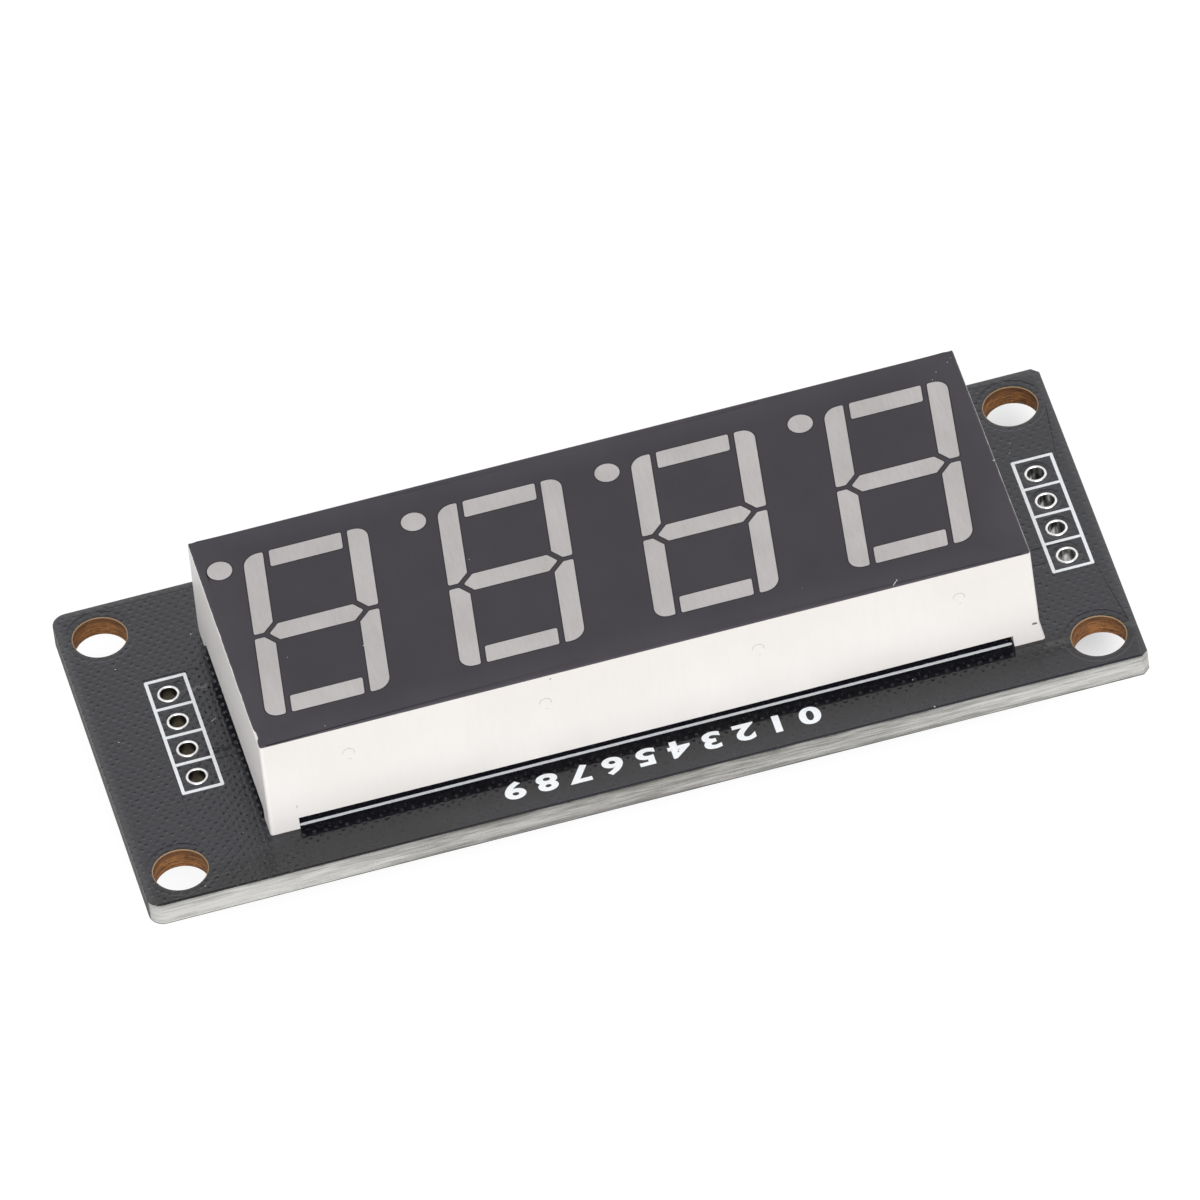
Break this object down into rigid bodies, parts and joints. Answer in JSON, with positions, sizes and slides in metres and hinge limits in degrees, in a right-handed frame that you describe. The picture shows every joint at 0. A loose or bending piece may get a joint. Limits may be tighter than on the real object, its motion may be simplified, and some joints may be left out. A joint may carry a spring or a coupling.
{
  "type": "seven segment display module",
  "caption": "Seven segment numeric display soldered to a black circuit board, with a row of header holes at each end and a mounting hole in each corner.",
  "frame": {"origin": "centre of the four mounting holes, on the underside of the circuit board", "axes": "+X along the display to the right when the digits are read upright, +Y towards the tops of the digits, +Z out of the display's face"},
  "size_m": [0.0653, 0.027, 0.0119],
  "materials": {
    "laminate": "glass-fibre laminate, sawn and routed edges",
    "copper": "etched copper foil",
    "solder_mask": "glossy black solder mask with the weave showing faintly",
    "white_print": "white board print",
    "tinned_copper": "bright tin over copper",
    "housing": "satin off-white moulding",
    "face_coating": "matt charcoal coating",
    "resin": "milky casting resin, flush with the face",
    "die": "sawn semiconductor",
    "bond_wire": "drawn gold wire",
    "tinned_steel": "tin plated",
    "solder": "bright solder",
    "chip_body": "matt black moulding compound",
    "alumina": "fired white ceramic",
    "resistor_coating": "black glaze, unmarked",
    "capacitor_ceramic": "fired tan ceramic"
  },
  "bodies": {
    "root": {"circuit_board": "laminate", "top_copper": "copper", "bottom_copper": "copper", "top_solder_mask": "solder_mask", "bottom_solder_mask": "solder_mask", "board_print": "white_print", "right_header_holes": "tinned_copper", "left_header_holes": "tinned_copper", "pin_holes": "tinned_copper", "vias": "copper", "driver_lands": "tinned_copper", "small_part_lands": "tinned_copper", "display_housing": "housing", "black_face": "face_coating", "resin_fill": "resin", "inner_board": "laminate", "led_dies": "die", "bond_wires": "bond_wire", "display_pins": "tinned_steel", "pin_solder": "solder", "driver_body": "chip_body", "driver_leads": "tinned_steel", "driver_solder": "solder", "clock_resistor": "alumina", "data_resistor": "alumina", "resistor_coatings": "resistor_coating", "clock_capacitor": "capacitor_ceramic", "data_capacitor": "capacitor_ceramic", "supply_capacitor": "capacitor_ceramic", "reserve_capacitor": "capacitor_ceramic", "end_caps": "tinned_copper", "small_part_solder": "solder"}
  },
  "joints": []
}
